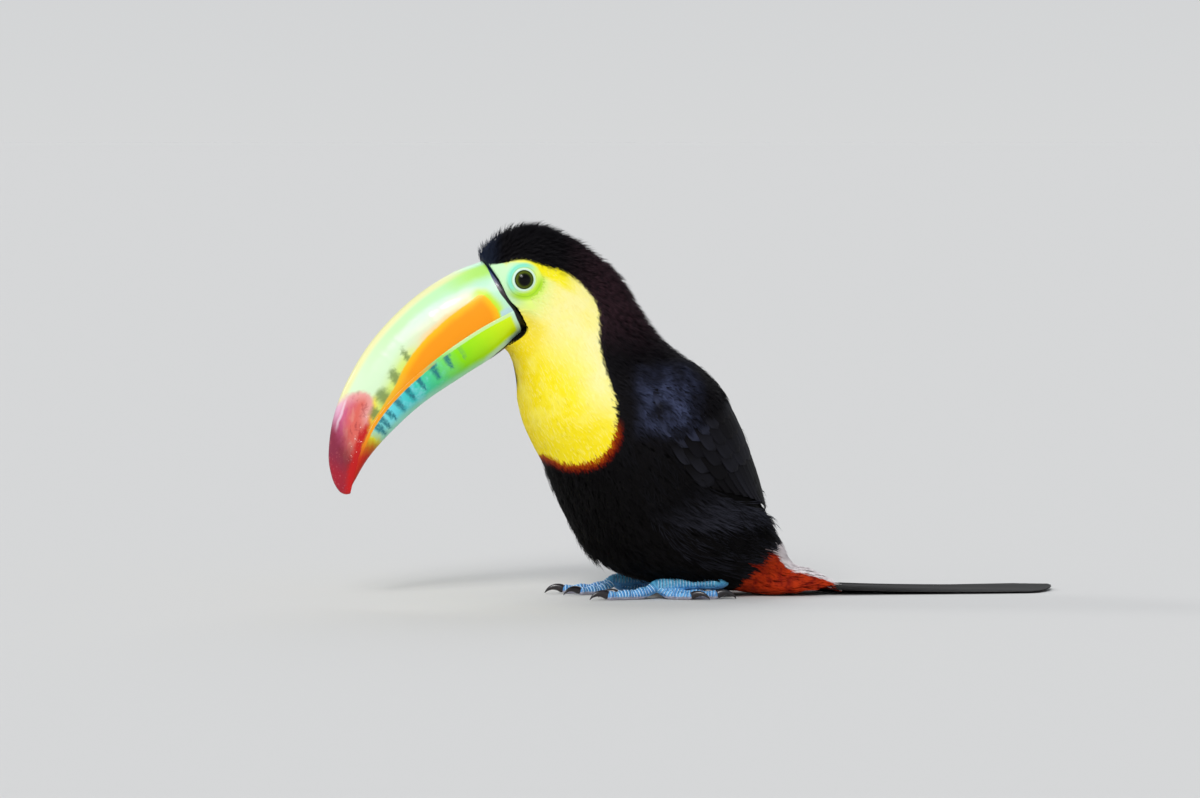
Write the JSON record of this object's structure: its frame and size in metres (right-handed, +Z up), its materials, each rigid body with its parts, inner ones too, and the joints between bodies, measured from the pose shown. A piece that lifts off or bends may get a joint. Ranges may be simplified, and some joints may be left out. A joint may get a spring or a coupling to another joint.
{
  "type": "keel-billed toucan model",
  "caption": "A life-size model of an adult keel-billed toucan, squatting on its feet on a level floor, head forward and bill curved down, wings folded, with the tail laid out flat behind.",
  "frame": {"origin": "On the floor, under the middle of the whole length from bill to tail tip.", "axes": "The bird faces -Y, +Z is up, and its own left side is +X."},
  "size_m": [0.082, 0.3716, 0.1869],
  "materials": {
    "yellow_plumage": "soft feather, satin",
    "black_plumage": "close feather, slight blue sheen",
    "bill_green": "polished horn",
    "bill_leaf_green": "polished horn",
    "leg_skin": "scaly skin, satin",
    "claw_horn": "polished horn",
    "eye": "wet gloss"
  },
  "bodies": {
    "root": {"head": "yellow_plumage", "neck": "yellow_plumage", "trunk": "black_plumage", "wing_left": "black_plumage", "wing_right": "black_plumage", "tail": "black_plumage", "bill_upper": "bill_green", "bill_lower": "bill_leaf_green", "eye_left": "eye", "eye_right": "eye", "leg_left": "leg_skin", "leg_right": "leg_skin", "claw_left_1": "claw_horn", "claw_left_2": "claw_horn", "claw_left_3": "claw_horn", "claw_left_4": "claw_horn", "claw_right_1": "claw_horn", "claw_right_2": "claw_horn", "claw_right_3": "claw_horn", "claw_right_4": "claw_horn"}
  },
  "joints": []
}
